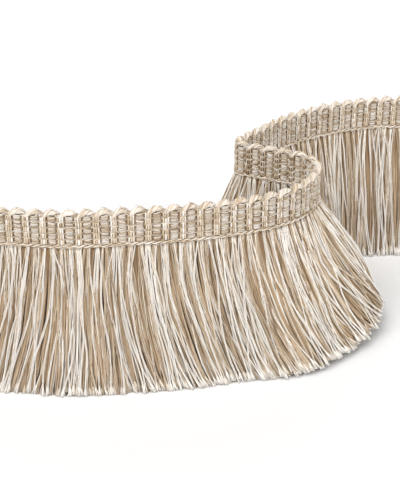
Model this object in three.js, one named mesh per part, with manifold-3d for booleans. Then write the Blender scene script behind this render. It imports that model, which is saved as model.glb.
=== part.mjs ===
// Moss fringe trim: a woven heading with a roped, scalloped top edge, and a thick skirt of cut yarn.
// The length stands on its cut yarn ends, in an S-shaped wave.
// Millimetres, +Z up. The origin is on the floor, below the middle of the bounding box.

import * as THREE from 'three';
import { mergeVertices } from 'three/addons/utils/BufferGeometryUtils.js';
import Module from 'manifold-3d';

const wasm = await Module();
wasm.setup();

// Driving sizes of the trim
const trimHeight = 75;
const headingHeight = 14;
const scallopPitch = 6.35;
const scallopCount = 52;
const scallopRise = 1.7;
const trimLength = scallopPitch * scallopCount;
const headingFoot = trimHeight - headingHeight;

// Skirt: each segment has its own root strip, a little below the heading, and two staggered rows
// of locks. A row's shift is a share of the pitch from one lock to the next.
const segmentCount = 13;
const locksPerRow = 10;
const lockRows = [
  { side: 1, shift: 0.34 },
  { side: -1, shift: 0.66 },
];
const pieceGap = 0.35;
const stripHeight = 1.3;
const stripThickness = 2.2;
const stripColumns = 8;
const rootOffset = 0.62;
const rootDepth = 0.8;
const footDepth = 1.8;
const rootFill = 0.4;
const footFill = 0.86;
const widestLock = 4;
const springShare = 0.3;
const depthScatter = 1;
const swayWidth = 0.5;
const swayWavelength = 19;
const segmentLength = trimLength / segmentCount;
const lockPitch = segmentLength / locksPerRow;

// Where the heading starts and which way it points there, in degrees
const waveStart = { x: -107.64, y: -57.8, heading: 2 };
const traceStep = 0.25;

// Bends of the wave: where each starts along the trim, how far it runs, and its turn in degrees
const bends = [
  { start: 0, run: 25, turn: -9 },
  { start: 38, run: 20, turn: 15 },
  { start: 73, run: 73, turn: 23 },
  { start: 117, run: 52, turn: 52 },
  { start: 154, run: 28, turn: 72.5 },
  { start: 197.5, run: 11, turn: -103 },
  { start: 221, run: 58, turn: -26.5 },
  { start: 267, run: 41, turn: -27.5 },
];

// The skirt turns more gently than the heading: each bend reaches this much further both ways
const skirtEasing = 14;

// How the cut ends stand out at the floor: lean is the middle of the skirt, left of travel, and
// splay is half its spread
const stances = [
  { along: 0, lean: -1.5, splay: 5.5 },
  { along: 107, lean: -2, splay: 6 },
  { along: 137, lean: -11, splay: 7 },
  { along: 165, lean: -23, splay: 8 },
  { along: 181, lean: -12, splay: 8 },
  { along: 191, lean: 0, splay: 6.5 },
  { along: 203, lean: 14, splay: 5 },
  { along: 222, lean: 4, splay: 6.5 },
  { along: 245, lean: -4, splay: 8 },
  { along: trimLength, lean: -4, splay: 8 },
];

// One scallop, across its pitch: the ribs' raise from the band, and the top edge's share of its rise
const ribColumns = [
  { across: 0, raise: 0.14, crest: 0 },
  { across: 0.25, raise: 0, crest: 0.6 },
  { across: 0.36, raise: 0.4, crest: 0.9 },
  { across: 0.64, raise: 0.4, crest: 1 },
  { across: 0.75, raise: 0, crest: 0.5 },
];

// The band's section from its foot up: half its thickness, the ribs' share, and the slant of the
// roped turns along the trim, opposite ways on the two faces
const turnsFoot = 11;
const bandRows = [
  { height: 0, half: 0.7, rib: 0, slant: 0 },
  { height: 0.8, half: 1.15, rib: 0.3, slant: 0 },
  { height: 1.8, half: 0.85, rib: 0.8, slant: 0 },
  { height: turnsFoot, half: 0.85, rib: 1, slant: 0 },
  { height: 12, half: 1.3, rib: 0.2, slant: -0.5 },
  { height: headingHeight, half: 0.4, rib: 0, slant: 0.7 },
];

const smooth = (share) => {
  const held = THREE.MathUtils.clamp(share, 0, 1);
  return held * held * (3 - 2 * held);
};

// A repeatable scatter from -1 to 1 for each lock
const scatterTurn = 12.99;
const scatterReach = 43758.5;
const scatter = (place) => {
  const value = Math.sin(place * scatterTurn) * scatterReach;
  return 2 * (value - Math.floor(value)) - 1;
};

// Direction of travel at a distance along the trim, in radians
function headingAt(along, easing) {
  let degrees = waveStart.heading;
  for (const bend of bends) {
    const share = (along - bend.start + easing) / (bend.run + 2 * easing);
    degrees += bend.turn * smooth(share);
  }
  return THREE.MathUtils.degToRad(degrees);
}

// The wave seen from above, as points at equal steps along the trim
function traceWave() {
  const points = [new THREE.Vector2(waveStart.x, waveStart.y)];
  const steps = Math.round(trimLength / traceStep) + 1;
  for (let step = 0; step < steps; step += 1) {
    const angle = headingAt((step + 0.5) * traceStep, 0);
    const stride = new THREE.Vector2(Math.cos(angle), Math.sin(angle)).multiplyScalar(traceStep);
    points.push(points[step].clone().add(stride));
  }
  return points;
}

const wave = traceWave();

function pointAt(along) {
  const place = THREE.MathUtils.clamp(along, 0, trimLength) / traceStep;
  const step = Math.floor(place);
  return wave[step].clone().lerp(wave[step + 1], place - step);
}

// A point beside the heading: offset is to the left of travel
function beside(along, offset, height) {
  const angle = headingAt(along, 0);
  const middle = pointAt(along);
  return new THREE.Vector3(middle.x - offset * Math.sin(angle), middle.y + offset * Math.cos(angle), height);
}

function stanceAt(along) {
  const next = Math.max(1, stances.findIndex((stance) => stance.along >= along));
  const from = stances[next - 1];
  const to = stances[next];
  const share = smooth((along - from.along) / (to.along - from.along));
  return {
    lean: THREE.MathUtils.lerp(from.lean, to.lean, share),
    splay: THREE.MathUtils.lerp(from.splay, to.splay, share),
  };
}

// Where the yarn from a place along the heading meets the floor, on one side (1 left, -1 right)
function footAt(along, side) {
  const { lean, splay } = stanceAt(THREE.MathUtils.clamp(along, 0, trimLength));
  const angle = headingAt(along, skirtEasing);
  const offset = lean + side * splay;
  const sway = swayWidth * Math.sin((2 * Math.PI * along) / swayWavelength + side);
  const middle = pointAt(along);
  return new THREE.Vector2(
    middle.x - offset * Math.sin(angle) + sway * Math.cos(angle),
    middle.y + offset * Math.cos(angle) + sway * Math.sin(angle),
  );
}

// Merges shared corners and drops what a closed solid doesn't need
function closed(geometry) {
  geometry.deleteAttribute('normal');
  geometry.deleteAttribute('uv');
  return mergeVertices(geometry);
}

function toSolid(geometry) {
  const merged = closed(geometry);
  const mesh = new wasm.Mesh({
    numProp: 3,
    vertProperties: new Float32Array(merged.attributes.position.array),
    triVerts: new Uint32Array(merged.index.array),
  });
  return new wasm.Manifold(mesh);
}

function toGeometry(solid) {
  const mesh = solid.getMesh();
  const geometry = new THREE.BufferGeometry();
  geometry.setAttribute('position', new THREE.BufferAttribute(mesh.vertProperties, 3));
  geometry.setIndex(new THREE.BufferAttribute(mesh.triVerts, 1));
  return geometry;
}

// The woven band: a box whose columns are the ribs and whose rows are the band's section
function headingShape() {
  const columns = scallopCount * ribColumns.length;
  const rows = bandRows.length - 1;
  const shape = new THREE.BoxGeometry(columns, 2, rows, columns, 1, rows);
  const corners = shape.attributes.position;
  for (let index = 0; index < corners.count; index += 1) {
    const column = Math.round(corners.getX(index) + columns / 2);
    const row = bandRows[Math.round(corners.getZ(index) + rows / 2)];
    const side = Math.sign(corners.getY(index));
    const rib = ribColumns[column % ribColumns.length];
    const scallop = Math.floor(column / ribColumns.length);
    const level = (scallop + rib.across) * scallopPitch;
    const along = THREE.MathUtils.clamp(level - side * row.slant, 0, trimLength);
    const dip = scallopRise * (1 - rib.crest) * smooth((row.height - turnsFoot) / scallopRise);
    const half = row.half + row.rib * rib.raise;
    const place = beside(along, side * half, headingFoot + row.height - dip);
    corners.setXYZ(index, place.x, place.y, place.z);
  }
  return closed(shape);
}

// The narrow strip that holds one segment's locks at their roots
function stripShape(start, end) {
  const top = headingFoot - pieceGap;
  const shape = new THREE.BoxGeometry(1, stripThickness, stripHeight, stripColumns, 1, 1);
  const corners = shape.attributes.position;
  for (let index = 0; index < corners.count; index += 1) {
    const along = THREE.MathUtils.lerp(start, end, corners.getX(index) + 0.5);
    const place = beside(along, corners.getY(index), top - stripHeight / 2 + corners.getZ(index));
    corners.setXYZ(index, place.x, place.y, place.z);
  }
  return shape;
}

// Sections of a lock: its share of the drop from root to floor
const lockDrops = [0, 0.15, 0.55, 1];

// A cylinder of three sides and radius 1 has one corner at Z = 1 and its flat face at Z = -0.5
const cornerZ = 1;
const faceZ = -0.5;

// One lock of yarn: three-sided, springing out below its root and standing flat on the floor
function lockShape(along, side, chance) {
  const sections = lockDrops.length - 1;
  const root = beside(along, side * rootOffset, 0);
  const rootTop = headingFoot - pieceGap - stripHeight / 2;
  const foot = footAt(along, side);
  const ahead = footAt(along + lockPitch / 2, side);
  const behind = footAt(along - lockPitch / 2, side);
  const travel = ahead.clone().sub(behind);
  const room = 2 * Math.min(foot.distanceTo(ahead), foot.distanceTo(behind));
  const footWidth = Math.min(widestLock, footFill * room);
  const rootAngle = headingAt(along, 0);
  const footAngle = Math.atan2(travel.y, travel.x);
  const turn = Math.atan2(Math.sin(footAngle - rootAngle), Math.cos(footAngle - rootAngle));
  const reach = depthScatter * chance;
  const shape = new THREE.CylinderGeometry(1, 1, sections, 3, sections);
  const corners = shape.attributes.position;
  for (let corner = 0; corner < corners.count; corner += 1) {
    const drop = lockDrops[Math.round(sections / 2 - corners.getY(corner))];
    const spring = drop * (1 + springShare * (1 - drop));
    const angle = rootAngle + turn * spring;
    const width = THREE.MathUtils.lerp(rootFill * lockPitch, footWidth, spring);
    const depth = THREE.MathUtils.lerp(rootDepth, footDepth, spring);
    const acrossShare = corners.getX(corner) / Math.sqrt(3);
    const depthShare = ((cornerZ + faceZ) / 2 - corners.getZ(corner)) / (cornerZ - faceZ);
    const outward = side * (depthShare * depth + reach * spring);
    const middleX = THREE.MathUtils.lerp(root.x, foot.x, spring);
    const middleY = THREE.MathUtils.lerp(root.y, foot.y, spring);
    const x = middleX + side * acrossShare * width * Math.cos(angle) - outward * Math.sin(angle);
    const y = middleY + side * acrossShare * width * Math.sin(angle) + outward * Math.cos(angle);
    corners.setXYZ(corner, x, y, rootTop * (1 - drop));
  }
  return shape;
}

// One segment of the skirt: its strip and two staggered rows of locks, fused at their roots
function segmentShape(segment) {
  const start = segment * segmentLength + pieceGap / 2;
  const end = (segment + 1) * segmentLength - pieceGap / 2;
  let solid = toSolid(stripShape(start, end));
  for (const { side, shift } of lockRows) {
    for (let lock = 0; lock < locksPerRow; lock += 1) {
      const place = segment * locksPerRow + lock + shift;
      solid = solid.add(toSolid(lockShape(place * lockPitch, side, scatter(place))));
    }
  }
  return closed(toGeometry(solid));
}

function piece(name, geometry, color, roughness) {
  const finish = new THREE.MeshStandardMaterial({ color, roughness, metalness: 0 });
  const mesh = new THREE.Mesh(geometry, finish);
  mesh.name = name;
  return mesh;
}

const trim = new THREE.Group();
trim.add(piece('heading', headingShape(), '#c4b59b', 0.9));
for (let segment = 0; segment < segmentCount; segment += 1) {
  const name = `fringe_${String(segment + 1).padStart(2, '0')}`;
  trim.add(piece(name, segmentShape(segment), '#d3c6b0', 0.85));
}

export default trim;
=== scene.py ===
import math

import bpy
import numpy as np
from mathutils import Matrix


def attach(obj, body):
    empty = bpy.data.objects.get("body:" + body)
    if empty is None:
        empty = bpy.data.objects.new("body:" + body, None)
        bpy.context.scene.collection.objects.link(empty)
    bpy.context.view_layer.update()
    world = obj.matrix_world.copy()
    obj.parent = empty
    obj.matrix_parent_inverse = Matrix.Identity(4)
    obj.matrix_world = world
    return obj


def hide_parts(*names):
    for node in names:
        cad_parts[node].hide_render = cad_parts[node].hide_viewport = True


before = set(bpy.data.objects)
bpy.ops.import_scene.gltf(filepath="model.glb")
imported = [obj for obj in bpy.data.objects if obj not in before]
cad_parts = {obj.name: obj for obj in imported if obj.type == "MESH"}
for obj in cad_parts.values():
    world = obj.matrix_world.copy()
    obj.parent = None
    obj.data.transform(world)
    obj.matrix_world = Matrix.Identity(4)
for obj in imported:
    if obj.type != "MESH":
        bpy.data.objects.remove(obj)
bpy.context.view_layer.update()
print("Frame loaded with", len(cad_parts), "solids")

# The tables are in millimetres and degrees. Meshes are made in metres.
toMetres = 0.001

trim = {
    "height": 75,  # overall, from the floor to the top of the scallops
    "headingHeight": 14,
    "scallopPitch": 6.35,
    "scallops": 52,
    "scallopRise": 1.7,
    "segments": 13,
}
trimLength = trim["scallopPitch"] * trim["scallops"]
headingFoot = trim["height"] - trim["headingHeight"]
ribPitch = trim["scallopPitch"] / 2

# The S-shaped wave that the trim stands in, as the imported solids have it
wave = {
    "start": (-107.64, -57.8),
    "heading": 2,
    "traceStep": 0.25,
    "skirtEasing": 14,  # the skirt turns more gently than the heading
    "bends": [
        {"start": 0, "run": 25, "turn": -9},
        {"start": 38, "run": 20, "turn": 15},
        {"start": 73, "run": 73, "turn": 23},
        {"start": 117, "run": 52, "turn": 52},
        {"start": 154, "run": 28, "turn": 72.5},
        {"start": 197.5, "run": 11, "turn": -103},
        {"start": 221, "run": 58, "turn": -26.5},
        {"start": 267, "run": 41, "turn": -27.5},
    ],
    "stances": [
        {"along": 0, "lean": -1.5, "splay": 5.5},
        {"along": 107, "lean": -2, "splay": 6},
        {"along": 137, "lean": -11, "splay": 7},
        {"along": 165, "lean": -23, "splay": 8},
        {"along": 181, "lean": -12, "splay": 8},
        {"along": 191, "lean": 0, "splay": 6.5},
        {"along": 203, "lean": 14, "splay": 5},
        {"along": 222, "lean": 4, "splay": 6.5},
        {"along": 245, "lean": -4, "splay": 8},
        {"along": trimLength, "lean": -4, "splay": 8},
    ],
    # How far the yarns' ends are swept along from their roots, at distances along the trim
    "sweeps": [
        (0, -3), (12, -7), (26, -11), (36, -10), (45, -4), (53, -1), (60, 2), (66, 7), (74, 10), (82, 13),
        (92, 14), (104, 13), (118, 13), (130, 13), (145, 11), (160, 7), (172, 3), (185, 0), (331, 0),
    ],
}


def smooth(share):
    held = np.clip(share, 0, 1)
    return held * held * (3 - 2 * held)


# Direction of travel at a distance along the trim, in radians
def headingAt(along, easing=0):
    degrees = np.full(np.shape(along), float(wave["heading"]))
    for bend in wave["bends"]:
        share = (along - bend["start"] + easing) / (bend["run"] + 2 * easing)
        degrees = degrees + bend["turn"] * smooth(share)
    return np.radians(degrees)


def traceWave():
    steps = round(trimLength / wave["traceStep"]) + 1
    angles = headingAt((np.arange(steps) + 0.5) * wave["traceStep"])
    strides = np.stack([np.cos(angles), np.sin(angles)], -1) * wave["traceStep"]
    start = np.array([wave["start"]])
    return np.vstack([start, start + np.cumsum(strides, 0)])


wavePoints = traceWave()


def pointAt(along):
    place = np.clip(along, 0, trimLength) / wave["traceStep"]
    steps = np.arange(len(wavePoints))
    return np.interp(place, steps, wavePoints[:, 0]), np.interp(place, steps, wavePoints[:, 1])


# A point beside the heading: offset is to the left of travel
def beside(along, offset, height):
    angle = headingAt(along)
    x, y = pointAt(along)
    x = x - offset * np.sin(angle)
    y = y + offset * np.cos(angle)
    return np.stack(np.broadcast_arrays(x, y, height), -1)


# Direction of travel as a vector, for rows of threads that lie across it
def travelAt(along):
    angle = headingAt(along)
    return np.stack([np.cos(angle), np.sin(angle), np.zeros_like(angle)], -1)


def stanceAt(along, part):
    places = np.array([row["along"] for row in wave["stances"]])
    values = np.array([row[part] for row in wave["stances"]])
    following = np.clip(np.searchsorted(places, along), 1, len(places) - 1)
    share = smooth((along - places[following - 1]) / (places[following] - places[following - 1]))
    return values[following - 1] + (values[following] - values[following - 1]) * share


# Where a yarn meets the floor: depth runs from -1, the right face of the skirt, to 1, the left face
def footAt(along, depth):
    held = np.clip(along, 0, trimLength)
    angle = headingAt(along, wave["skirtEasing"])
    offset = stanceAt(held, "lean") + depth * stanceAt(held, "splay")
    x, y = pointAt(along)
    return x - offset * np.sin(angle), y + offset * np.cos(angle)


# How far the yarns sweep along the trim on their way down, where the skirt fans out
def sweepAt(along):
    places, sweeps = zip(*wave["sweeps"])
    return np.interp(along, places, sweeps)


# Colours are given as they show on screen, 0 to 255, and shaders take them as linear light
def shade(red, green, blue):
    channels = [value / 255 for value in (red, green, blue)]
    linear = [((value + 0.055) / 1.055) ** 2.4 if value > 0.04 else value / 12.92 for value in channels]
    return (*linear, 1)


# A value inside a finish. Sums written with it add their Math nodes.
class Wire:
    def __init__(self, finish, socket):
        self.finish = finish
        self.socket = socket

    def math(self, operation, first, second):
        return self.finish.add("ShaderNodeMath", {"operation": operation}, {0: first, 1: second})

    def __add__(self, other):
        return self.math("ADD", self, other)

    def __radd__(self, other):
        return self.math("ADD", other, self)

    def __sub__(self, other):
        return self.math("SUBTRACT", self, other)

    def __rsub__(self, other):
        return self.math("SUBTRACT", other, self)

    def __mul__(self, other):
        return self.math("MULTIPLY", self, other)

    def __rmul__(self, other):
        return self.math("MULTIPLY", other, self)


class Finish:
    def __init__(self, name):
        self.material = bpy.data.materials.new(name)
        self.material.use_nodes = True
        self.nodes = self.material.node_tree.nodes
        self.links = self.material.node_tree.links
        self.nodes.clear()

    # Adds any node: its settings first, then the values or wires of its sockets
    def add(self, kind, settings, sockets, output=0):
        node = self.nodes.new(kind)
        for name, value in settings.items():
            if name == "stops":
                self.setStops(node.color_ramp.elements, value)
            else:
                setattr(node, name, value)
        for name, value in sockets.items():
            if isinstance(value, Wire):
                self.links.new(value.socket, node.inputs[name])
            else:
                node.inputs[name].default_value = value
        return Wire(self, node.outputs[output]) if node.outputs else None

    def setStops(self, elements, stops):
        while len(elements) < len(stops):
            elements.new(1)
        for element, (place, colour) in zip(elements, stops):
            element.position = place
            element.color = colour

    def noise(self, vector, scale, detail=2):
        sockets = {"Vector": vector, "Scale": scale, "Detail": detail}
        return self.add("ShaderNodeTexNoise", {}, sockets, "Fac")

    def stretch(self, vector, factors):
        return self.add("ShaderNodeVectorMath", {"operation": "MULTIPLY"}, {0: vector, 1: factors})

    def relief(self, height, look):
        sockets = {"Height": height, "Strength": look["bumpStrength"], "Distance": look["bumpDepth"]}
        return self.add("ShaderNodeBump", {}, sockets, "Normal")

    def cover(self, sockets):
        shader = self.add("ShaderNodeBsdfPrincipled", {}, sockets, "BSDF")
        self.add("ShaderNodeOutputMaterial", {}, {"Surface": shader})


# Spun yarn. Each thread carries its tint, from 0, ecru, to 1, tan, and its lay: the two parts of
# the angle round the thread, and the length along it in millimetres. The tints are a mean and a
# spread, and the lengths and widths of plies, fibres and slubs are at the thread's own scale.
yarn = {
    "skirtStops": [
        (0.0, shade(249, 244, 237)),
        (0.14, shade(242, 234, 223)),
        (0.32, shade(224, 207, 184)),
        (0.62, shade(188, 163, 132)),
        (1.0, shade(148, 121, 91)),
    ],
    "headingStops": [
        (0.0, shade(242, 235, 226)),
        (0.3, shade(225, 210, 190)),
        (0.62, shade(196, 173, 144)),
        (1.0, shade(160, 134, 104)),
    ],
    "ecruTint": (0.03, 0.05),
    "tanTint": (0.82, 0.08),
    "plyLength": 1.1,
    "plyGrooveShade": 0.03,
    "plyRelief": 0.35,
    "fibreWidth": 5,
    "fibreTurn": 1.5,
    "fibreStretch": 0.6,
    "fibreContrast": 0.16,
    "slubLength": 9,
    "slubContrast": 0.14,
    "roughness": 0.85,
    "roughnessRange": 0.1,
    "sheen": 0.15,
    "sheenRoughness": 0.5,
    "specular": 0.2,
    "bumpStrength": 0.6,
    "bumpDepth": 0.00005,
}


def yarnFinish(name, stops):
    finish = Finish(name)
    tint = finish.add("ShaderNodeAttribute", {"attribute_name": "tint"}, {}, "Fac")
    lay = finish.add("ShaderNodeAttribute", {"attribute_name": "lay"}, {}, "Vector")
    stretched = finish.stretch(lay, (yarn["fibreTurn"], yarn["fibreTurn"], yarn["fibreStretch"]))
    fibres = finish.noise(stretched, yarn["fibreWidth"], 3)
    slubs = finish.noise(finish.stretch(lay, (0, 0, 1 / yarn["slubLength"])), 1)
    parts = {}
    for part in ("X", "Y", "Z"):
        parts[part] = finish.add("ShaderNodeSeparateXYZ", {}, {0: lay}, part)
    turn = finish.add("ShaderNodeMath", {"operation": "ARCTAN2"}, {0: parts["Y"], 1: parts["X"]})
    twist = turn * 2 + parts["Z"] * (2 * math.pi / yarn["plyLength"])
    plies = finish.add("ShaderNodeMath", {"operation": "SINE"}, {0: twist})
    shown = tint + (fibres - 0.5) * yarn["fibreContrast"] + (slubs - 0.5) * yarn["slubContrast"]
    # Painted shade: the colour darkens in the grooves between the plies and pales on their crests
    shown = shown - plies * yarn["plyGrooveShade"]
    finish.cover({
        "Base Color": finish.add("ShaderNodeValToRGB", {"stops": stops}, {"Fac": shown}, "Color"),
        "Roughness": yarn["roughness"] + (fibres - 0.5) * yarn["roughnessRange"],
        "Normal": finish.relief(fibres + plies * yarn["plyRelief"], yarn),
        "Sheen Weight": yarn["sheen"],
        "Sheen Roughness": yarn["sheenRoughness"],
        "Specular IOR Level": yarn["specular"],
    })
    return finish.material


# Ground cloth of the heading, coloured dark as painted shade, which shows as the dark holes between the
# ribs
ground = {
    "thread": shade(174, 150, 120),
    "paintedHollowShade": shade(126, 106, 82),
    "levelPitch": 0.42,
    "uprightPitch": 0.6,
    "weaveShare": 0.7,
    "fibreWidth": 6,
    "roughness": 0.88,
    "roughnessRange": 0.1,
    "sheen": 0.2,
    "specular": 0.2,
    "bumpStrength": 0.8,
    "bumpDepth": 0.0001,
}


def groundFinish(name):
    finish = Finish(name)
    lay = finish.add("ShaderNodeAttribute", {"attribute_name": "lay"}, {}, "Vector")
    waves = []
    for part, pitch in (("X", ground["uprightPitch"]), ("Y", ground["levelPitch"])):
        place = finish.add("ShaderNodeSeparateXYZ", {}, {0: lay}, part)
        turn = place * (2 * math.pi / pitch)
        waves.append(finish.add("ShaderNodeMath", {"operation": "SINE"}, {0: turn}))
    weave = waves[0] * waves[1] * 0.5 + 0.5
    fibres = finish.noise(lay, ground["fibreWidth"], 3)
    # Painted shade: where the weave sinks, the colour darkens towards the hollow colour
    mask = weave * ground["weaveShare"] + fibres * (1 - ground["weaveShare"])
    # 6, 7 and 2 are the Mix node's two colours and its colour result
    colours = {0: mask, 6: ground["paintedHollowShade"], 7: ground["thread"]}
    finish.cover({
        "Base Color": finish.add("ShaderNodeMix", {"data_type": "RGBA"}, colours, 2),
        "Roughness": ground["roughness"] + fibres * ground["roughnessRange"],
        "Normal": finish.relief(mask, ground),
        "Sheen Weight": ground["sheen"],
        "Specular IOR Level": ground["specular"],
    })
    return finish.material


finishes = {
    "headingYarn": yarnFinish("headingYarn", yarn["headingStops"]),
    "skirtYarn": yarnFinish("skirtYarn", yarn["skirtStops"]),
    "groundClothShade": groundFinish("groundClothShade"),
}
print("Finishes mixed:", ", ".join(finishes))


def addPiece(name, points, faces, attributes, finish, nodes):
    mesh = bpy.data.meshes.new(name)
    sizes = np.concatenate([np.full(len(rows), rows.shape[1]) for rows in faces])
    corners = np.concatenate([rows.ravel() for rows in faces])
    mesh.vertices.add(len(points))
    mesh.loops.add(len(corners))
    mesh.polygons.add(len(sizes))
    mesh.vertices.foreach_set("co", (points * toMetres).astype(np.float32).ravel())
    mesh.loops.foreach_set("vertex_index", corners.astype(np.int32))
    mesh.polygons.foreach_set("loop_start", (np.cumsum(sizes) - sizes).astype(np.int32))
    mesh.update(calc_edges=True)
    mesh.shade_smooth()
    for label, kind, field, values in attributes:
        attribute = mesh.attributes.new(label, kind, "POINT")
        attribute.data.foreach_set(field, values.astype(np.float32).ravel())
    mesh.validate()
    mesh.materials.append(finishes[finish])
    piece = bpy.data.objects.new(name, mesh)
    bpy.context.scene.collection.objects.link(piece)
    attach(piece, "root")
    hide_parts(*nodes)
    return piece


# Threads as closed tubes. Each bundle has a path, sized threads by points by 3, a radius, a tint
# and a reference direction that no path runs along.
def layThreads(name, bundles, finish, nodes, rng, sides=3, lowest=None):
    points, quads, caps, tints, lays = [], [], [], [], []
    made = 0
    angles = 2 * np.pi * np.arange(sides) / sides
    for bundle in bundles:
        path = bundle["path"]
        threads, steps = path.shape[:2]
        travel = np.gradient(path, axis=1)
        travel /= np.linalg.norm(travel, axis=2, keepdims=True)
        across = np.cross(travel, np.broadcast_to(bundle["reference"], path.shape))
        across /= np.linalg.norm(across, axis=2, keepdims=True)
        outward = np.cross(travel, across)
        radius = np.broadcast_to(bundle["radius"], (threads, steps))[:, :, None, None]
        level, upright = np.cos(angles)[:, None], np.sin(angles)[:, None]
        spokes = level * across[:, :, None] + upright * outward[:, :, None]
        points.append((path[:, :, None] + radius * spokes).reshape(-1, 3))
        index = made + np.arange(threads * steps * sides).reshape(threads, steps, sides)
        beyond = np.roll(index, -1, axis=2)
        quad = np.stack([index[:, :-1], beyond[:, :-1], beyond[:, 1:], index[:, 1:]], -1)
        quads.append(quad.reshape(-1, 4))
        caps.append(index[:, 0, ::-1])
        caps.append(index[:, -1])
        tint = np.broadcast_to(bundle["tint"], (threads, steps))
        tints.append(np.repeat(tint.ravel(), sides))
        # Each thread's length counts from its own start, so that no two have the same plies and slubs
        spans = np.linalg.norm(np.diff(path, axis=1), axis=2)
        length = np.cumsum(np.hstack([rng.uniform(0, 90, (threads, 1)), spans]), axis=1)
        lay = np.empty((threads, steps, sides, 3))
        lay[..., 0] = np.cos(angles)
        lay[..., 1] = np.sin(angles)
        lay[..., 2] = length[:, :, None]
        lays.append(lay.reshape(-1, 3))
        made += threads * steps * sides
    points = np.concatenate(points)
    if lowest is not None:
        points[:, 2] = np.maximum(points[:, 2], lowest)
    attributes = [
        ("tint", "FLOAT", "value", np.concatenate(tints)),
        ("lay", "FLOAT_VECTOR", "vector", np.concatenate(lays)),
    ]
    faces = [np.concatenate(quads), np.concatenate(caps)]
    return addPiece(name, points, faces, attributes, finish, nodes)


# Picks a tint for each thread: shares of ecru and tan, and the tint and spread of the linen rest
def pickTints(rng, count, ecru, tan, linen=0.55, spread=0.08):
    draw = rng.random(count)
    plain = rng.normal(linen, spread, count)
    picked = np.where(draw < ecru, rng.normal(*yarn["ecruTint"], count), plain)
    return np.where(draw > 1 - tan, rng.normal(*yarn["tanTint"], count), picked)


# Small random shifts in millimetres, one for each thread. The "uneven" part of a piece's dictionary
# holds their sizes, and the spread of its threads' radius as a share of it.
def jitter(rng, amount, count):
    return rng.normal(0, amount, (count, 1))


# Random factors about 1, one for each thread
def varied(rng, amount, count):
    return rng.normal(1, amount, (count, 1))


upward = np.array([0, 0, 1])


# Every combination of the counts, as one flat list each
def allOf(*counts):
    return [grid.ravel() for grid in np.meshgrid(*[np.arange(count) for count in counts], indexing="ij")]


heading = {
    "seed": 3,
    "rowHeight": 2.3,
    "rows": 5,
    "rowFoot": 0.25,
    "raisedPart": [0.22, 0.32, 0.68, 0.78],
    "endInset": 0.1,
}


# 1 in a raised rib and 0 in a lower one
def raisedShare(along):
    across = along / trim["scallopPitch"] % 1
    return np.interp(across, heading["raisedPart"], [0, 1, 1, 0])


# Height of the foot of a row of stitches
def levelOfRow(row):
    return headingFoot + heading["rowFoot"] + row * heading["rowHeight"]


groundBand = {
    "half": 0.5,
    "foot": -0.9,
    "top": 11.5,
    "ribSwell": 0.35,
    "columnsPerScallop": 6,
    "levels": 14,
}


# The ground cloth: a thin closed band that swells a little into the raised ribs. Its dark colour is painted
# shade.
def makeBand():
    inset = heading["endInset"]
    columns = trim["scallops"] * groundBand["columnsPerScallop"] + 1
    places = np.linspace(inset, trimLength - inset, columns)
    levels = headingFoot + np.array([groundBand["foot"], groundBand["top"]])
    along, height = np.meshgrid(places, np.linspace(*levels, groundBand["levels"]), indexing="ij")
    half = groundBand["half"] + groundBand["ribSwell"] * raisedShare(along)
    points = []
    lays = []
    for side in (-1, 1):
        points.append(beside(along, side * half, height))
        lays.append(np.stack([along, height, np.full_like(along, side)], -1))
    # One ring for each column: up one face and down the other
    points = np.concatenate([points[0], points[1][:, ::-1]], axis=1)
    lays = np.concatenate([lays[0], lays[1][:, ::-1]], axis=1)
    ring = points.shape[1]
    index = np.arange(points.shape[0] * ring).reshape(-1, ring)
    beyond = np.roll(index, -1, axis=1)
    faces = [np.stack([index[:-1], index[1:], beyond[1:], beyond[:-1]], -1).reshape(-1, 4)]
    for column, turned in ((0, False), (-1, True)):
        front = index[column, :ring // 2]
        back = index[column, ring // 2:][::-1]
        cap = np.stack([front[:-1], front[1:], back[1:], back[:-1]], -1)
        faces.append(cap[:, ::-1] if turned else cap)
    attributes = [("lay", "FLOAT_VECTOR", "vector", lays.reshape(-1, 3))]
    return addPiece("headingBand", points.reshape(-1, 3), faces, attributes, "groundClothShade",
                    ["heading"])


ribStitches = {
    "threads": 5,
    "threadRadius": 0.25,
    "halfWidth": 1.6,
    "narrowing": 0.14,
    "reach": 1.45,
    "sunk": 0.1,
    "swell": 0.2,
    "slant": 0.04,
    "slantSpread": 0.16,
    "threadSlant": 0.07,
    "archPower": 4,
    "endThinning": 0.25,
    "tints": (0.36, 0.04, 0.42, 0.12),
    "bindingShare": 0.6,
    "bindingTint": (0.05, 0.05),
    "uneven": {"width": 0.05, "along": 0.05, "reach": 0.04, "height": 0.035, "radius": 0.07},
}


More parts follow.
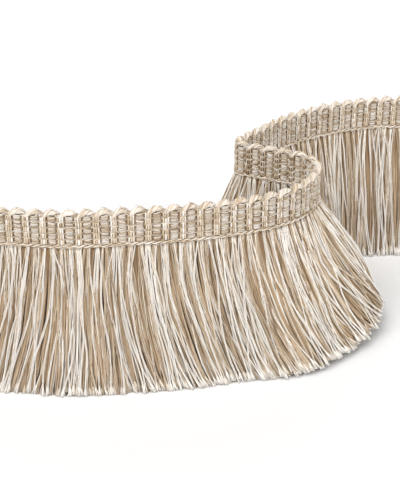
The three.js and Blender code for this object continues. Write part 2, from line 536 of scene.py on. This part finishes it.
# Raised ribs: stacked beads of short level stitches
def makeRibStitches(rng):
    uneven = ribStitches["uneven"]
    threads = ribStitches["threads"]
    scallop, face, bead, thread = allOf(trim["scallops"], 2, heading["rows"], threads)
    side = 2 * face - 1
    count = len(scallop)
    within = (thread + 0.5) / threads - 0.5
    share = np.linspace(-1, 1, 6)
    pillow = np.cos(np.pi * within)[:, None]
    narrowing = ribStitches["narrowing"] * (1 - pillow)
    width = ribStitches["halfWidth"] * (1 - narrowing) + jitter(rng, uneven["width"], count)
    middle = (scallop[:, None] + 0.5) * trim["scallopPitch"]
    along = middle + share * width + jitter(rng, uneven["along"], count)
    arch = 1 - np.abs(share) ** ribStitches["archPower"]
    reach = ribStitches["reach"] - groundBand["half"] + ribStitches["swell"] * (pillow - 0.5)
    offset = groundBand["half"] - ribStitches["sunk"] + (reach + jitter(rng, uneven["reach"], count)) * arch
    beadOf = (scallop * 2 + face) * heading["rows"] + bead
    beadSlant = rng.normal(ribStitches["slant"], ribStitches["slantSpread"], beadOf.max() + 1)
    slant = beadSlant[beadOf][:, None] * share
    slant = slant + jitter(rng, ribStitches["threadSlant"], count) * share
    height = levelOfRow(bead + 0.5 + within)[:, None] + slant + jitter(rng, uneven["height"], count)
    tint = pickTints(rng, count, *ribStitches["tints"])
    # A pale thread binds most beads to the next
    binding = (thread == threads - 1) & (rng.random(count) < ribStitches["bindingShare"])
    tint = np.where(binding, rng.normal(*ribStitches["bindingTint"], count), tint)
    radius = ribStitches["threadRadius"] * varied(rng, uneven["radius"], count)
    inset = heading["endInset"]
    bundle = {
        "path": beside(np.clip(along, inset, trimLength - inset), side[:, None] * offset, height),
        "radius": radius * (1 - ribStitches["endThinning"] * np.abs(share) ** 3),
        "tint": tint[:, None],
        "reference": upward,
    }
    return layThreads("ribStitches", [bundle], "headingYarn", ["heading"], rng)


ribLoops = {
    "legs": [
        {"across": -0.72, "bow": -0.12, "reach": 1.14},
        {"across": 0.0, "bow": 0.0, "reach": 1.28},
        {"across": 0.72, "bow": 0.12, "reach": 1.14},
    ],
    "legRadius": 0.41,
    "legDip": 0.4,
    "legPower": 0.6,
    "columnTints": (0.2, 0.03, 0.44),
    "changedTints": (0.2, 0.08, 0.46, 0.12),
    "changedShare": 0.5,
    "firstMiddle": 1.4,
    "bars": 2,
    "barHalfWidth": 0.98,
    "barOffset": 0.5,
    "barArch": 0.72,
    "barTop": 0.98,
    "barDrop": 0.2,
    "barRadius": 0.2,
    "barTints": (0.35, 0.1, 0.46),
    "uneven": {"middle": 0.06, "along": 0.04, "reach": 0.06, "height": 0.05, "radius": 0.07, "bar": 0.08},
}


# Lower ribs: upright legs side by side, pinched at each row by short bars
def makeRibLoops(rng):
    uneven = ribLoops["uneven"]
    bundles = []
    share = np.linspace(0, 1, 6)
    arch = np.sin(np.pi * share)
    scallop, face, row = allOf(trim["scallops"], 2, heading["rows"])
    side = 2 * face - 1
    count = len(scallop)
    middle = scallop[:, None] * trim["scallopPitch"] + jitter(rng, uneven["middle"], count)
    middle = np.maximum(middle, ribLoops["firstMiddle"])
    foot = levelOfRow(row[:, None])
    dip = ribLoops["legDip"]
    for leg in ribLoops["legs"]:
        along = middle + leg["across"] + leg["bow"] * arch + jitter(rng, uneven["along"], count)
        swell = (dip + jitter(rng, uneven["reach"], count)) * arch ** ribLoops["legPower"]
        offset = leg["reach"] - dip + swell
        height = foot + share * heading["rowHeight"] + jitter(rng, uneven["height"], count)
        # Half the loops of a column keep its yarn, and the rest are of another
        column = pickTints(rng, trim["scallops"] * 2, *ribLoops["columnTints"])[scallop * 2 + face]
        changed = rng.random(count) < ribLoops["changedShare"]
        column = np.where(changed, pickTints(rng, count, *ribLoops["changedTints"]), column)
        bundles.append({
            "path": beside(along, side[:, None] * offset, height),
            "radius": ribLoops["legRadius"] * varied(rng, uneven["radius"], count),
            "tint": column[:, None],
            "reference": travelAt(along),
        })
    share = np.linspace(-1, 1, 5)
    for bar in range(ribLoops["bars"]):
        along = middle + share * ribLoops["barHalfWidth"] + jitter(rng, uneven["bar"], count)
        offset = ribLoops["barOffset"] + ribLoops["barArch"] * (1 - share ** 4)
        level = ribLoops["barTop"] - ribLoops["barDrop"] * bar
        height = foot + heading["rowHeight"] * level + jitter(rng, uneven["height"], count)
        bundles.append({
            "path": beside(along, side[:, None] * offset, np.broadcast_to(height, along.shape)),
            "radius": ribLoops["barRadius"],
            "tint": pickTints(rng, count, *ribLoops["barTints"])[:, None],
            "reference": upward,
        })
    return layThreads("ribLoops", bundles, "headingYarn", ["heading"], rng)


grooveStitches = {
    "shift": 0.25,
    "halfWidth": 0.5,
    "offset": 0.8,
    "endRise": 0.12,
    "spacing": 0.42,
    "slant": 0.05,
    "threadRadius": 0.23,
    "tints": (0.3, 0.08, 0.46),
    "uneven": {"along": 0.04, "reach": 0.03, "height": 0.05},
}


# Short stitches across the grooves, which leave a hole between each row and the next
def makeGrooveStitches(rng):
    uneven = grooveStitches["uneven"]
    groove, face, row, pair = allOf(trim["scallops"] * 2, 2, heading["rows"] + 1, 2)
    side = 2 * face - 1
    count = len(groove)
    share = np.linspace(-1, 1, 4)
    shift = grooveStitches["shift"]
    middle = (groove + 0.5) * ribPitch + np.where(groove % 2 == 0, -shift, shift)
    along = middle[:, None] + grooveStitches["halfWidth"] * share + jitter(rng, uneven["along"], count)
    offset = grooveStitches["offset"] + grooveStitches["endRise"] * share ** 2
    offset = offset + jitter(rng, uneven["reach"], count)
    rise = levelOfRow(row) + (pair - 0.5) * grooveStitches["spacing"]
    height = rise[:, None] + grooveStitches["slant"] * share + jitter(rng, uneven["height"], count)
    bundle = {
        "path": beside(along, side[:, None] * offset, height),
        "radius": grooveStitches["threadRadius"],
        "tint": pickTints(rng, count, *grooveStitches["tints"])[:, None],
        "reference": upward,
    }
    return layThreads("grooveStitches", [bundle], "headingYarn", ["heading"], rng)


# A rope of two threads, and pairs of short stitches below it
footLine = {
    "height": -0.35,
    "reach": 1.15,
    "ropeRadius": 0.34,
    "threadRadius": 0.38,
    "points": 760,
    "endInset": 0.3,
    "wander": 0.05,
    "wanderTurns": (1.7, 0.61),
    "tint": 0.34,
    "tintSwings": (0.26, 0.1),
    "tintTurns": (1.3, 0.23),
    "stitchShift": 0.02,
    "stitchHeight": -0.85,
    "stitchSpacing": 0.42,
    "stitchWidths": (0.75, 1.35),
    "stitchOffset": 0.75,
    "stitchArch": 0.42,
    "archPower": 2.5,
    "stitchSlant": 0.08,
    "stitchInset": 0.15,
    "stitchRadius": 0.2,
    "stitchTints": (0.5, 0.06, 0.46),
    "uneven": {"along": 0.1, "reach": 0.04, "height": 0.07},
}


# The twisted line along the heading's foot, and the short stitches that bind the skirt below it
def makeFootTwist(rng):
    uneven = footLine["uneven"]
    bundles = []
    along = np.linspace(footLine["endInset"], trimLength - footLine["endInset"], footLine["points"])
    quick, slow = footLine["wanderTurns"]
    short, long = footLine["tintSwings"]
    shortTurns, longTurns = footLine["tintTurns"]
    for side in (-1, 1):
        for start in (0, math.pi):
            turn = 2 * np.pi * along / trim["scallopPitch"] + start
            wander = footLine["wander"] * (np.sin(along * quick + start) + np.sin(along * slow + side))
            offset = side * (footLine["reach"] + footLine["ropeRadius"] * np.cos(turn))
            height = headingFoot + footLine["height"] + footLine["ropeRadius"] * np.sin(turn) + wander
            tint = footLine["tint"] + short * np.sin(along * shortTurns + start)
            tint = tint + long * np.sin(along * longTurns)
            bundles.append({
                "path": beside(along, offset, height)[None],
                "radius": footLine["threadRadius"],
                "tint": tint[None],
                "reference": upward,
            })
    rib, face, pair = allOf(trim["scallops"] * 2, 2, 2)
    side = 2 * face - 1
    count = len(rib)
    share = np.linspace(-1, 1, 6)
    width = rng.uniform(*footLine["stitchWidths"], (count, 1))
    middle = (rib[:, None] + footLine["stitchShift"]) * ribPitch
    along = middle + share * width + jitter(rng, uneven["along"], count)
    along = np.clip(along, footLine["stitchInset"], trimLength - footLine["stitchInset"])
    arch = footLine["stitchArch"] * (1 - np.abs(share) ** footLine["archPower"])
    offset = footLine["stitchOffset"] + arch + jitter(rng, uneven["reach"], count)
    level = footLine["stitchHeight"] - footLine["stitchSpacing"] * pair[:, None]
    slant = footLine["stitchSlant"] * share
    height = headingFoot + level + slant + jitter(rng, uneven["height"], count)
    bundles.append({
        "path": beside(along, side[:, None] * offset, height),
        "radius": footLine["stitchRadius"],
        "tint": pickTints(rng, count, *footLine["stitchTints"])[:, None],
        "reference": upward,
    })
    return layThreads("footTwist", bundles, "headingYarn", ["heading"], rng)


turns = {
    "threads": 16,
    "spacing": 0.4,
    "reach": 1.05,
    "lift": 1.04,
    "swell": 0.3,
    "threadRadius": 0.21,
    "tints": (0.42, 0.03, 0.4, 0.12),
    "endInset": 0.2,
    "crestPlaces": [0, 0.1, 0.22, 0.35, 0.5, 0.65, 0.78, 0.9, 1],
    "crest": [0.15, 0.36, 0.8, 0.96, 1, 0.96, 0.8, 0.36, 0.15],
    "uneven": {"along": 0.07, "swell": 0.05, "radius": 0.07},
}


# Height of the scalloped top edge at a distance along the trim
def topEdge(along):
    across = along / trim["scallopPitch"] % 1
    crest = np.interp(across, turns["crestPlaces"], turns["crest"])
    return trim["height"] - trim["scallopRise"] * (1 - crest)


# Roped turns over the top edge: each scallop is one slanting turn of threads that lie side by side
def layTurns(rng):
    uneven = turns["uneven"]
    scallop, thread = allOf(trim["scallops"], turns["threads"])
    count = len(scallop)
    centred = thread - (turns["threads"] - 1) / 2
    share = np.linspace(0, 1, 15)
    turn = 2 * np.pi * share
    along = (scallop[:, None] + 0.5) * trim["scallopPitch"] + centred[:, None] * turns["spacing"]
    along = along + (share - 0.5) * trim["scallopPitch"] + jitter(rng, uneven["along"], count)
    swell = turns["swell"] * (1 - (2 * centred / turns["threads"]) ** 2)[:, None]
    swell = swell + jitter(rng, uneven["swell"], count)
    radius = turns["threadRadius"] * varied(rng, uneven["radius"], count)
    offset = -(turns["reach"] + swell) * np.sin(turn)
    middle = topEdge(along) - turns["lift"] - turns["threadRadius"]
    height = middle - (turns["lift"] + swell - turns["swell"]) * np.cos(turn)
    kept = (along[:, 0] > turns["endInset"]) & (along[:, -1] < trimLength - turns["endInset"])
    return {
        "path": beside(along, offset, height)[kept],
        "radius": radius[kept],
        "tint": pickTints(rng, count, *turns["tints"])[kept][:, None],
        "reference": travelAt(along)[kept],
    }


wisps = {
    "perScallop": 0.75,
    "lengths": (1.6, 3.4),
    "startShare": 0.6,
    "reach": 0.9,
    "drawnIn": (0.2, 0.9),
    "sunk": 0.9,  # how far below the top edge a wisp starts
    "rises": (0.1, 0.75),  # and how far above it the wisp ends
    "risePower": 0.8,
    "radius": 0.17,
    "taper": 0.1,
    "tints": (0.3, 0.2),
}


# Loose ends that stand off the turns, some on each face
def layWisps(rng):
    count = round(trim["scallops"] * wisps["perScallop"]) * 2
    place = rng.choice(trim["scallops"] * 2, count, replace=False)
    side = (2 * (place % 2) - 1)[:, None]
    share = np.linspace(0, 1, 7)
    length = rng.uniform(*wisps["lengths"], (count, 1))
    begin = (place // 2 + 0.5)[:, None] * trim["scallopPitch"] - length * wisps["startShare"]
    along = begin + length * share * -side + (side > 0) * length * (2 * wisps["startShare"])
    along = np.clip(along, turns["endInset"], trimLength - turns["endInset"])
    offset = side * (wisps["reach"] - rng.uniform(*wisps["drawnIn"], (count, 1)) * share)
    rise = wisps["sunk"] + rng.uniform(*wisps["rises"], (count, 1))
    height = topEdge(along) - wisps["sunk"] + rise * share ** wisps["risePower"]
    return {
        "path": beside(along, offset, height),
        "radius": wisps["radius"] - wisps["taper"] * share ** 2,
        "tint": pickTints(rng, count, *wisps["tints"])[:, None],
        "reference": np.array([0.3, 0.2, 1]),
    }


def makeScallopTurns(rng):
    bundles = [layTurns(rng), layWisps(rng)]
    return layThreads("scallopTurns", bundles, "headingYarn", ["heading"], rng)


headingRng = np.random.default_rng(heading["seed"])
headingBand = makeBand()
headingPieces = [
    makeRibStitches(headingRng),
    makeRibLoops(headingRng),
    makeGrooveStitches(headingRng),
    makeFootTwist(headingRng),
    makeScallopTurns(headingRng),
]
print("Heading woven in", len(headingPieces) + 1, "pieces")


# The skirt has two kinds of yarn, pale and linen. Each kind says how many hang from a lower and a
# raised rib, how far from the rib's middle they start and end, and how deep they stand, where 1 is
# the skirt's face. Shares run from 0 at a yarn's root to 1 at its cut end.
skirt = {
    "seed": 40,
    "yarnKinds": [
        {"lowRib": 4, "raisedRib": 2, "root": 0.62, "wander": 2.0, "depth": 1.14, "depthRange": 0.22,
         "ecru": 0.78, "tan": 0.0, "radius": 0.2, "parting": 0.3, "flare": 1.0, "lift": 0.8},
        {"lowRib": 3, "raisedRib": 6, "root": 0.78, "wander": 1.7, "depth": 1.1, "depthRange": 0.34,
         "ecru": 0.1, "tan": 0.18, "radius": 0.24, "parting": 0.9, "flare": 0.75, "lift": 2.2},
    ],
    "endInset": 0.2,
    "yarnLength": 61,
    "standing": 1.8,
    "liftShare": 0.85,
    "liftPower": 1.5,
    "mostStretch": 1.3,
    "springShare": 0.32,
    "sweepCurve": 1.75,
    "rootTop": -0.6,
    "rootReach": 0.85,
    "rootSpread": 1.4,
    "linen": (0.5, 0.13),
    "bow": 0.9,
    "curl": 0.7,
    "ripple": 0.3,
    "depthRipple": 0.05,
    "rippleTurns": (1.9, 1.3),
    "rippleStart": 6,
    "bunchWander": 1.0,
    "bunchBow": 0.9,
    "bunchDepth": 0.1,
    "strayShare": 0.08,
    "strayWander": 4.5,
    "strayDepth": 1.18,
    "strayTint": (0.02, 0.04),
    "threadsPerYarn": 3,
    "threadRadius": 0.178,
    "threadTintSpread": 0.11,
    "twists": 1.4,
    "uneven": {"twists": 0.25, "turn": 0.25, "spread": 0.18, "radius": 0.1},  # turn is in radians
    "gatheredTo": 0.14,
    "rootGather": 0.85,
    "rootThinning": 0.8,
    "openFrom": 0.93,
    "tipFlare": 1.3,
    "tipSwell": 0.5,
    "paintedTipLight": 0.1,
    "paintedOpenLight": 0.6,
    "shares": [0, 0.05, 0.13, 0.24, 0.36, 0.48, 0.6, 0.72, 0.84, 0.94, 0.975, 1],
}
ribsPerSegment = trim["scallops"] * 2 // trim["segments"]


# The middle line of each yarn, from its root in the heading to its end on the floor
def hangYarns(along, depth, share, raised):
    held = np.clip(along, skirt["endInset"], trimLength - skirt["endInset"])
    spring = share * (1 + skirt["springShare"] * (1 - share))
    start = beside(held, depth * skirt["rootReach"], 0.0)
    footX, footY = footAt(held, depth)
    x = start[..., 0] + (footX - start[..., 0]) * spring
    y = start[..., 1] + (footY - start[..., 1]) * spring
    # A yarn that leans out has the same length as one that hangs straight, so its end is lifted
    reach = np.hypot(x[:, -1] - x[:, 0], y[:, -1] - y[:, 0])
    lift = skirt["yarnLength"] - np.sqrt(skirt["yarnLength"] ** 2 - reach ** 2) - skirt["standing"]
    end = raised + skirt["liftShare"] * np.maximum(lift, 0)
    rootTop = headingFoot + skirt["rootTop"]
    height = rootTop * (1 - share) + end[:, None] * share
    return np.stack([x, y, height], -1), travelAt(held)


# How much further apart the feet stand than the roots, where the skirt fans round a bend
def fanStretch(segment):
    along = (segment + np.linspace(0, 1, 9)) * trimLength / trim["segments"]
    widest = 1
    for depth in (-1, 1):
        x, y = footAt(along + sweepAt(along), depth)
        feet = np.hypot(np.diff(x), np.diff(y)).sum()
        widest = max(widest, feet * trim["segments"] / trimLength)
    return min(widest, skirt["mostStretch"])


core = {
    "perFace": 9,
    "radius": 0.52,
    "depth": 0.8,
    "depthSpread": 0.08,
    "wander": 0.6,
    "bow": 0.5,
    "lift": 0.6,
    "endFill": 90,
    "endInset": 0.4,
    "endDepth": 4,
    "endCrowding": 1.5,
    "endHalf": 0.75,
    "tints": (0.04, 0.25, 0.6),
    "paintedShadePlaces": [0, 0.16, 0.3, 0.7, 1],
    "paintedShade": [0.4, 0.25, 0, 0, -0.1],
    "deepPlaces": [0, 0.35, 1],
    "deepening": [0.2, 1, 1.14],
    "shares": [0, 0.08, 0.2, 0.35, 0.52, 0.7, 0.86, 1],
}


# The inside of the skirt: plainer, thicker yarns, which close it behind the ones that show. At the
# two cut ends of the trim they fill it from face to face.
def layCore(rng, segment):
    count = round(ribsPerSegment * core["perFace"] * fanStretch(segment))
    root = (segment + (np.arange(count) + rng.random(count)) / count) * trimLength / trim["segments"]
    root = np.concatenate([root, root])
    depth = np.repeat([-1, 1], count) * (core["depth"] + rng.normal(0, core["depthSpread"], 2 * count))
    if segment in (0, trim["segments"] - 1):
        inset = core["endInset"] + core["endDepth"] * rng.random(core["endFill"]) ** core["endCrowding"]
        root = np.concatenate([root, inset if segment == 0 else trimLength - inset])
        depth = np.concatenate([depth, rng.uniform(-core["endHalf"], core["endHalf"], core["endFill"])])
    count = len(root)
    share = np.array(core["shares"])
    along = root[:, None] + sweepAt(root)[:, None] * share ** skirt["sweepCurve"]
    along = along + jitter(rng, core["wander"], count) * share
    along = along + jitter(rng, core["bow"], count) * np.sin(np.pi * share)
    deep = depth[:, None] * np.interp(share, core["deepPlaces"], core["deepening"])
    path, travel = hangYarns(along, deep, share, core["lift"] * rng.random(count))
    # Painted shade: the core yarns take darker tints than the yarns that show, for the gaps between those
    tint = pickTints(rng, count, *core["tints"])[:, None]
    # Painted shade darkens the core near its roots, under the heading, and painted light pales it at its
    # cut ends
    tint = tint + np.interp(share, core["paintedShadePlaces"], core["paintedShade"])
    return {"path": path, "radius": core["radius"], "tint": tint, "reference": travel}


# The yarns of one segment that show. The ecru ones leave the middle of each rib close together and
# fan out, and the linen ones fill in between.
def pickYarns(rng, segment):
    parts = ("root", "wander", "bunch", "depth", "tint", "raised", "radius", "parting", "flare")
    columns = {part: [] for part in parts}
    stretch = fanStretch(segment)
    ribs = ribsPerSegment + (segment == trim["segments"] - 1)
    spread = skirt["rootSpread"]
    for kind in skirt["yarnKinds"]:
        for first, perFace in ((0, kind["lowRib"]), (1, kind["raisedRib"])):
            pair, face = allOf((ribs + 1 - first) // 2, 2, round(perFace * stretch))[:2]
            count = len(pair)
            middle = (segment * ribsPerSegment + 2 * pair + first) * ribPitch
            columns["root"].append(middle + np.clip(rng.normal(0, kind["root"], count), -spread, spread))
            columns["wander"].append(rng.normal(0, kind["wander"], count))
            columns["bunch"].append(2 * (2 * pair + first) + face)
            side = 2 * face - 1
            columns["depth"].append(side * (kind["depth"] - kind["depthRange"] * rng.random(count)))
            columns["tint"].append(pickTints(rng, count, kind["ecru"], kind["tan"], *skirt["linen"]))
            columns["raised"].append(kind["lift"] * rng.random(count) ** skirt["liftPower"])
            for part in ("radius", "parting", "flare"):
                columns[part].append(np.full(count, kind[part]))
    yarns = {part: np.concatenate(column) for part, column in columns.items()}
    count = len(yarns["root"])
    # The yarns of one rib keep together, so that the skirt hangs in bunches
    yarns["swayed"] = rng.normal(0, 1, (4 * ribs, 3))[yarns["bunch"]]
    wander = yarns["wander"] + skirt["bunchWander"] * yarns["swayed"][:, 0]
    # A few pale ones stray across the others
    stray = rng.random(count) < skirt["strayShare"]
    yarns["wander"] = np.where(stray, rng.normal(0, skirt["strayWander"], count), wander)
    yarns["depth"] = np.where(stray, np.sign(yarns["depth"]) * skirt["strayDepth"], yarns["depth"])
    yarns["tint"] = np.where(stray, rng.normal(*skirt["strayTint"], count), yarns["tint"])
    return yarns


# The line that each yarn takes down the skirt
def bendYarns(rng, yarns, share):
    count = len(yarns["root"])
    root = yarns["root"]
    middleShare = np.sin(np.pi * share)
    bow = jitter(rng, skirt["bow"], count) * middleShare
    bow = bow + skirt["bunchBow"] * yarns["swayed"][:, 1:2] * middleShare
    curl = jitter(rng, skirt["curl"], count) * np.sin(2 * np.pi * share)
    along = root[:, None] + sweepAt(root)[:, None] * share ** skirt["sweepCurve"]
    along = along + yarns["wander"][:, None] * share
    start = rng.uniform(0, 2 * np.pi, (2, count, 1))
    turned, turnedDeep = (2 * ripples * np.pi * share for ripples in skirt["rippleTurns"])
    held = np.minimum(1, skirt["rippleStart"] * share)
    along = along + bow + curl + skirt["ripple"] * held * np.sin(turned + start[0])
    deep = yarns["depth"][:, None] + skirt["depthRipple"] * held * np.sin(turnedDeep + start[1])
    deep = deep * (1 + skirt["bunchDepth"] * yarns["swayed"][:, 2:3] * middleShare)
    return hangYarns(along, deep, share, yarns["raised"])


# The threads of each yarn, loosely twisted round its middle
def twistThreads(rng, yarns, middle, travel, facing, share):
    uneven = skirt["uneven"]
    count = len(middle)
    yarnOf = np.repeat(np.arange(count), skirt["threadsPerYarn"])
    thread = np.tile(np.arange(skirt["threadsPerYarn"]), count)
    total = len(yarnOf)
    twists = (skirt["twists"] * rng.normal(1, uneven["twists"], count))[yarnOf]
    phase = rng.uniform(0, 2 * np.pi, count)[yarnOf] + 2 * np.pi * thread / skirt["threadsPerYarn"]
    turn = phase[:, None] + 2 * np.pi * twists[:, None] * share + rng.normal(0, uneven["turn"], (total, 1))
    opened = smooth((share - skirt["openFrom"]) / (1 - skirt["openFrom"])) * yarns["flare"][yarnOf][:, None]
    gathered = np.interp(share, [0, skirt["gatheredTo"]], [skirt["rootGather"], 1])
    spread = (yarns["radius"][yarnOf] * rng.normal(1, uneven["spread"], total))[:, None] * gathered
    spread = spread * (1 + skirt["tipFlare"] * opened)
    parting = yarns["parting"][yarnOf][:, None] * np.sin(np.pi * share)
    spread = spread * (1 + parting * rng.random((total, 1)))
    path = middle[yarnOf] + spread[..., None] * (
        np.cos(turn)[..., None] * travel[yarnOf] + np.sin(turn)[..., None] * facing[yarnOf])
    radius = skirt["threadRadius"] * varied(rng, uneven["radius"], total) * (1 + skirt["tipSwell"] * opened)
    radius = radius * np.interp(share, [0, skirt["gatheredTo"]], [skirt["rootThinning"], 1])
    tint = yarns["tint"][yarnOf] + rng.normal(0, skirt["threadTintSpread"], total)
    # Painted light: the threads grow paler towards their cut ends, and more where they open
    tint = tint[:, None] * (1 - skirt["paintedOpenLight"] * opened) - skirt["paintedTipLight"] * share ** 2
    return {"path": path, "radius": radius, "tint": tint, "reference": travel[yarnOf]}


tufts = {
    "threads": 4,
    "spread": 1.0,
    "spreadRange": (0.2, 1),
    "opening": [0.15, 0.6, 1],
    "radii": [0.14, 0.23, 0.29],
    "paintedLightTintShare": 0.32,
    "paintedPaling": 0.03,
    "uneven": {"radius": 0.12, "tint": 0.04},
}


# The opened cut end of each yarn: short threads that spread like a small brush
def layTufts(rng, yarns, middle, travel, facing):
    steps = len(tufts["radii"])
    yarnOf = np.repeat(np.arange(len(middle)), tufts["threads"])
    count = len(yarnOf)
    turn = rng.uniform(0, 2 * np.pi, (count, 1))
    spread = tufts["spread"] * np.sqrt(rng.uniform(*tufts["spreadRange"], (count, 1)))
    spread = (spread * yarns["flare"][yarnOf][:, None] * tufts["opening"])[..., None]
    travel = travel[yarnOf, -steps:]
    around = np.cos(turn)[..., None] * travel + np.sin(turn)[..., None] * facing[yarnOf, -steps:]
    # Painted light: a tuft keeps only part of its yarn's tint, and a little less, so the cut ends show pale
    tint = tufts["paintedLightTintShare"] * yarns["tint"][yarnOf]
    return {
        "path": middle[yarnOf, -steps:] + spread * around,
        "radius": np.array(tufts["radii"]) * varied(rng, tufts["uneven"]["radius"], count),
        "tint": (tint + rng.normal(-tufts["paintedPaling"], tufts["uneven"]["tint"], count))[:, None],
        "reference": travel,
    }


def makeSkirt(segment):
    rng = np.random.default_rng(skirt["seed"] + segment)
    share = np.array(skirt["shares"])
    yarns = pickYarns(rng, segment)
    middle, travel = bendYarns(rng, yarns, share)
    facing = np.stack([-travel[..., 1], travel[..., 0], np.zeros_like(travel[..., 0])], -1)
    shown = twistThreads(rng, yarns, middle, travel, facing, share)
    opened = layTufts(rng, yarns, middle, travel, facing)
    bundles = [layCore(rng, segment), shown, opened]
    number = f"{segment + 1:02d}"
    nodes = [f"fringe_{number}"]
    return layThreads(f"skirt_{number}", bundles, "skirtYarn", nodes, rng, lowest=0)


skirtPieces = [makeSkirt(segment) for segment in range(trim["segments"])]
print("Skirt hung in", len(skirtPieces), "segments")

triangles = sum(len(piece.data.loops) - 2 * len(piece.data.polygons)
                for piece in [headingBand] + headingPieces + skirtPieces)
print("Triangles in all:", triangles)


floorLook = {
    "size": 16,
    "colour": shade(232, 232, 232),
    "roughness": 0.9,
    "specular": 0.1,
    "grain": 700,
    "bumpStrength": 0.05,
    "bumpDepth": 0.0001,
}


def makeFloor():
    half = floorLook["size"] / 2
    mesh = bpy.data.meshes.new("floor")
    corners = [(-half, -half, 0), (half, -half, 0), (half, half, 0), (-half, half, 0)]
    mesh.from_pydata(corners, [], [(0, 1, 2, 3)])
    finish = Finish("floorPaint")
    place = finish.add("ShaderNodeTexCoord", {}, {}, "Object")
    finish.cover({
        "Base Color": floorLook["colour"],
        "Roughness": floorLook["roughness"],
        "Specular IOR Level": floorLook["specular"],
        "Normal": finish.relief(finish.noise(place, floorLook["grain"]), floorLook),
    })
    mesh.materials.append(finish.material)
    floor = bpy.data.objects.new("floor", mesh)
    bpy.context.scene.collection.objects.link(floor)


# Each lamp shines from an azimuth, where 0 is the camera's side and 90 the right
studio = {
    "cameraPlace": (-0.01288, -0.4375, 0.2465),
    "cameraPitch": 26.5,
    "focalLength": 55.06,
    "sensorHeight": 24,
    "nearest": 0.01,
    "furthest": 20,
    "skyStrength": 0.28,
    "lamps": {
        "keyLight": {"azimuth": -38, "elevation": 42, "strength": 2.0, "softness": 45},
        "fillLight": {"azimuth": 60, "elevation": 26, "strength": 1.35, "softness": 45},
        "topLight": {"azimuth": -25, "elevation": 70, "strength": 0.95, "softness": 50},
        "backLight": {"azimuth": 195, "elevation": 38, "strength": 0.75, "softness": 50},
    },
}


# A soft light from far away, so that the floor is lit evenly
def addLight(name, lamp):
    light = bpy.data.lights.new(name, "SUN")
    light.energy = lamp["strength"]
    light.angle = math.radians(lamp["softness"])
    holder = bpy.data.objects.new(name, light)
    tilt = math.radians(90 - lamp["elevation"])
    holder.rotation_euler = (tilt, 0, math.radians(lamp["azimuth"]))
    bpy.context.scene.collection.objects.link(holder)


def makeCamera():
    lens = bpy.data.cameras.new("camera")
    lens.sensor_fit = "VERTICAL"
    lens.sensor_height = studio["sensorHeight"]
    lens.lens = studio["focalLength"]
    lens.clip_start = studio["nearest"]
    lens.clip_end = studio["furthest"]
    camera = bpy.data.objects.new("camera", lens)
    camera.location = studio["cameraPlace"]
    camera.rotation_euler = (math.radians(90 - studio["cameraPitch"]), 0, 0)
    bpy.context.scene.collection.objects.link(camera)
    bpy.context.scene.camera = camera


def makeSky():
    world = bpy.data.worlds.new("studioSky")
    world.use_nodes = True
    background = world.node_tree.nodes["Background"]
    background.inputs["Color"].default_value = (1, 1, 1, 1)
    background.inputs["Strength"].default_value = studio["skyStrength"]
    bpy.context.scene.world = world


makeFloor()
for lampName, lamp in studio["lamps"].items():
    addLight(lampName, lamp)
makeSky()
makeCamera()
bpy.context.scene.view_settings.view_transform = "Standard"
print("Studio set")
